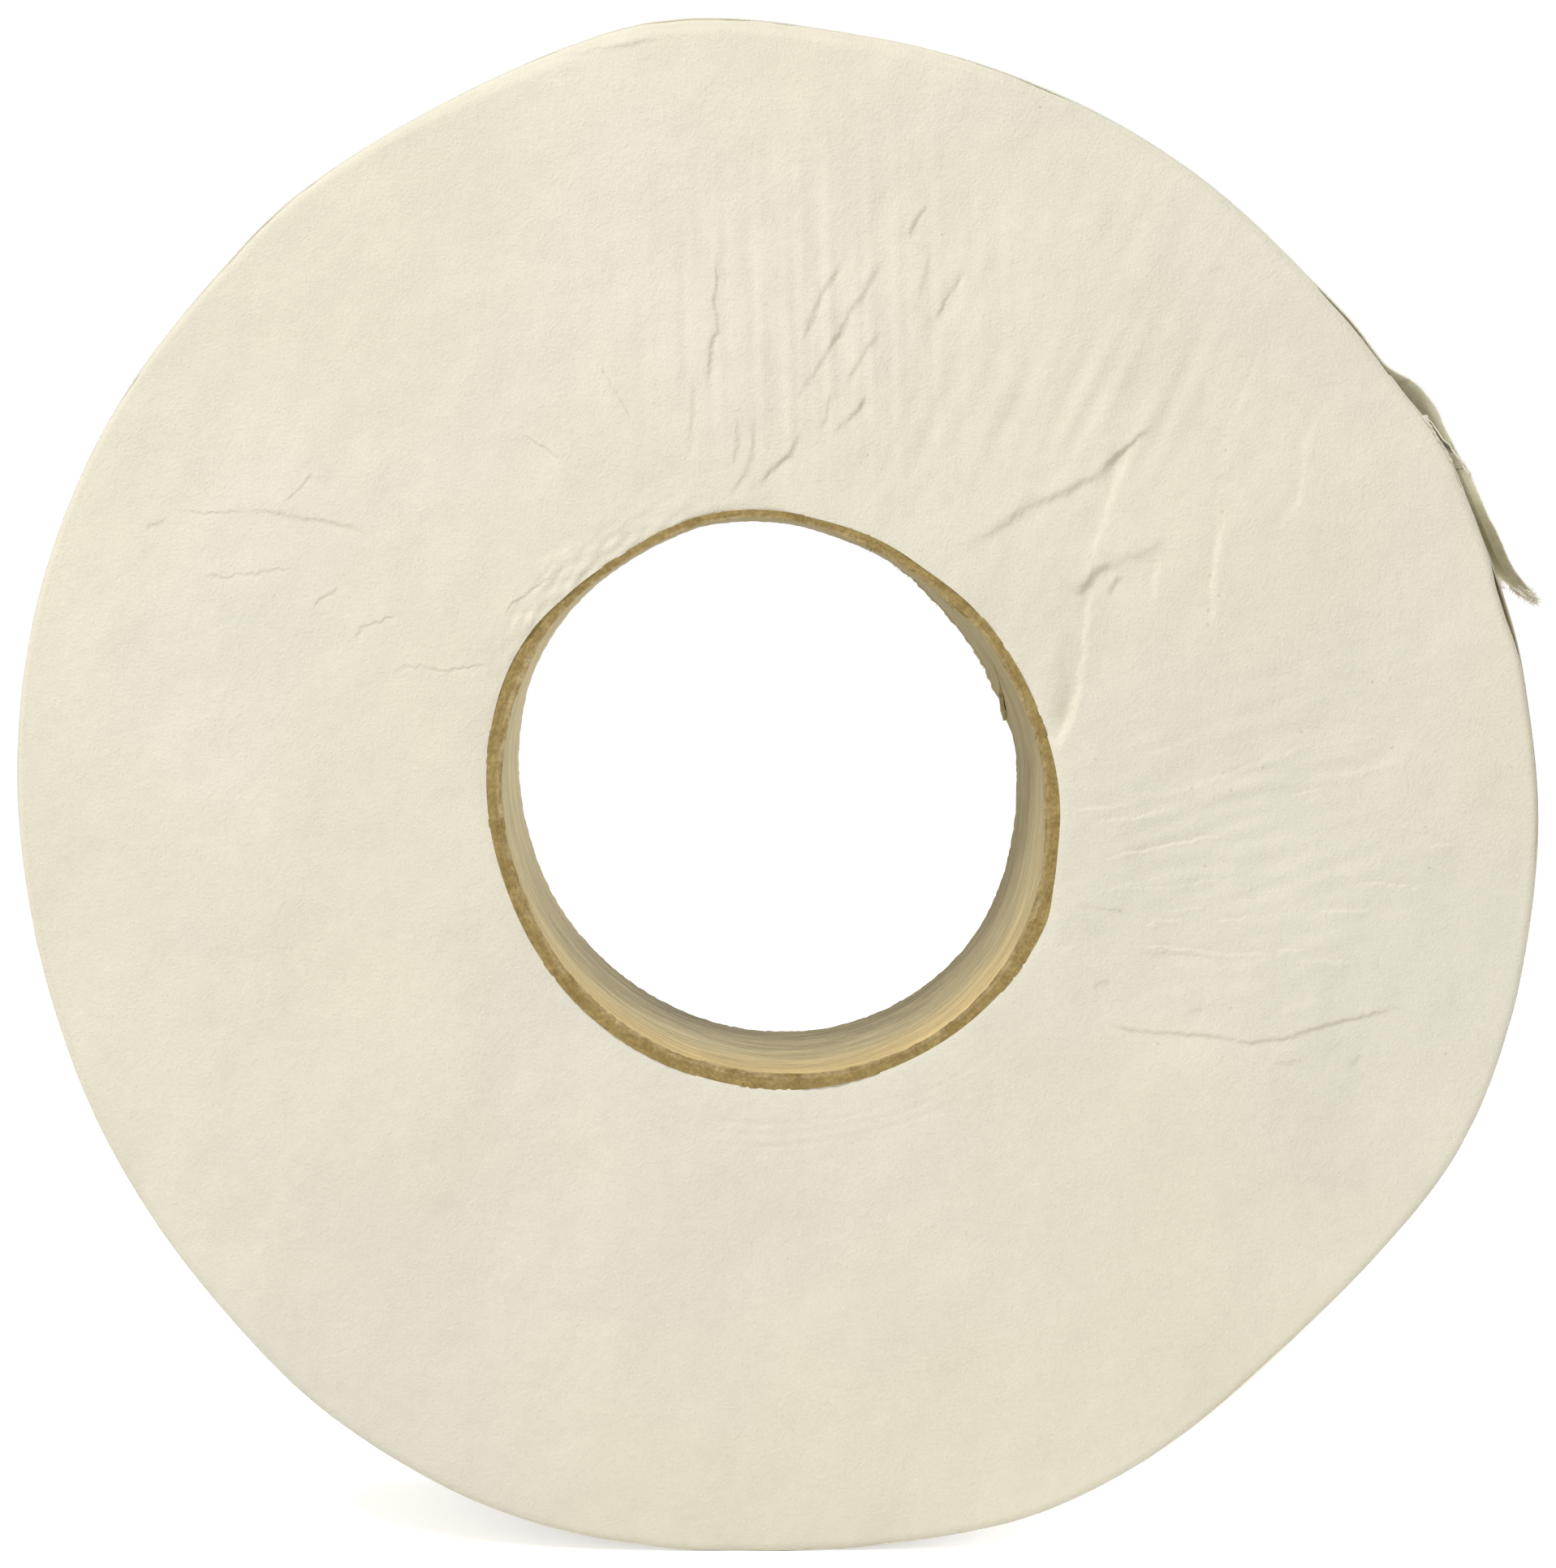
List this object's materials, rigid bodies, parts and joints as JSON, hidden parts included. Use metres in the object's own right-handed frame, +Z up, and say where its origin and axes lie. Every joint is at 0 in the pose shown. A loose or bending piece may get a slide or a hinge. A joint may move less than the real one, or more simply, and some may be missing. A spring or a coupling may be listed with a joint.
{
  "type": "paper tape roll",
  "caption": "Roll of bare cream paper tape wound on a thin board core, standing on its settled edge, with a torn free end that lifts and folds away from the roll.",
  "frame": {"origin": "on the floor under the roll's axis, halfway across the tape's width", "axes": "+Z up, +Y along the roll's axis away from the pictured face, +X to the right in the picture"},
  "size_m": [0.2098, 0.0524, 0.2121],
  "materials": {
    "cream_paper": "bare matt cream paper, seen on the edges of its turns",
    "loose_paper": "bare matt cream paper, fibrous where it is torn",
    "liner_board": "matt grey-brown recycled board with fine streaks",
    "kraft_board": "matt brown kraft board with a fibrous cut edge"
  },
  "bodies": {
    "roll": {"core_liner_ply": "liner_board", "core_middle_ply": "kraft_board", "core_outer_ply": "kraft_board", "first_turn": "cream_paper", "wound_tape": "cream_paper", "outer_turn": "loose_paper"},
    "tail_root": {"tail_root": "loose_paper"},
    "tail_flap": {"tail_flap": "loose_paper"},
    "tail_tip": {"tail_tip": "loose_paper"}
  },
  "joints": [
    {"name": "tail_peel", "type": "hinge", "parent": "roll", "child": "tail_root", "pos_m": [0.08373, 0, 0.16539], "axis": [0, -1, 0], "range_deg": [-0.8, 80], "stiffness_Nm_per_rad": 0.003},
    {"name": "tail_bend", "type": "hinge", "parent": "tail_root", "child": "tail_flap", "pos_m": [0.09057, 0, 0.15962], "axis": [0, -1, 0], "range_deg": [-0.8, 70], "stiffness_Nm_per_rad": 0.002},
    {"name": "tail_curl", "type": "hinge", "parent": "tail_flap", "child": "tail_tip", "pos_m": [0.09944, 0, 0.14173], "axis": [0, -1, 0], "range_deg": [-2, 65], "stiffness_Nm_per_rad": 0.001}
  ]
}
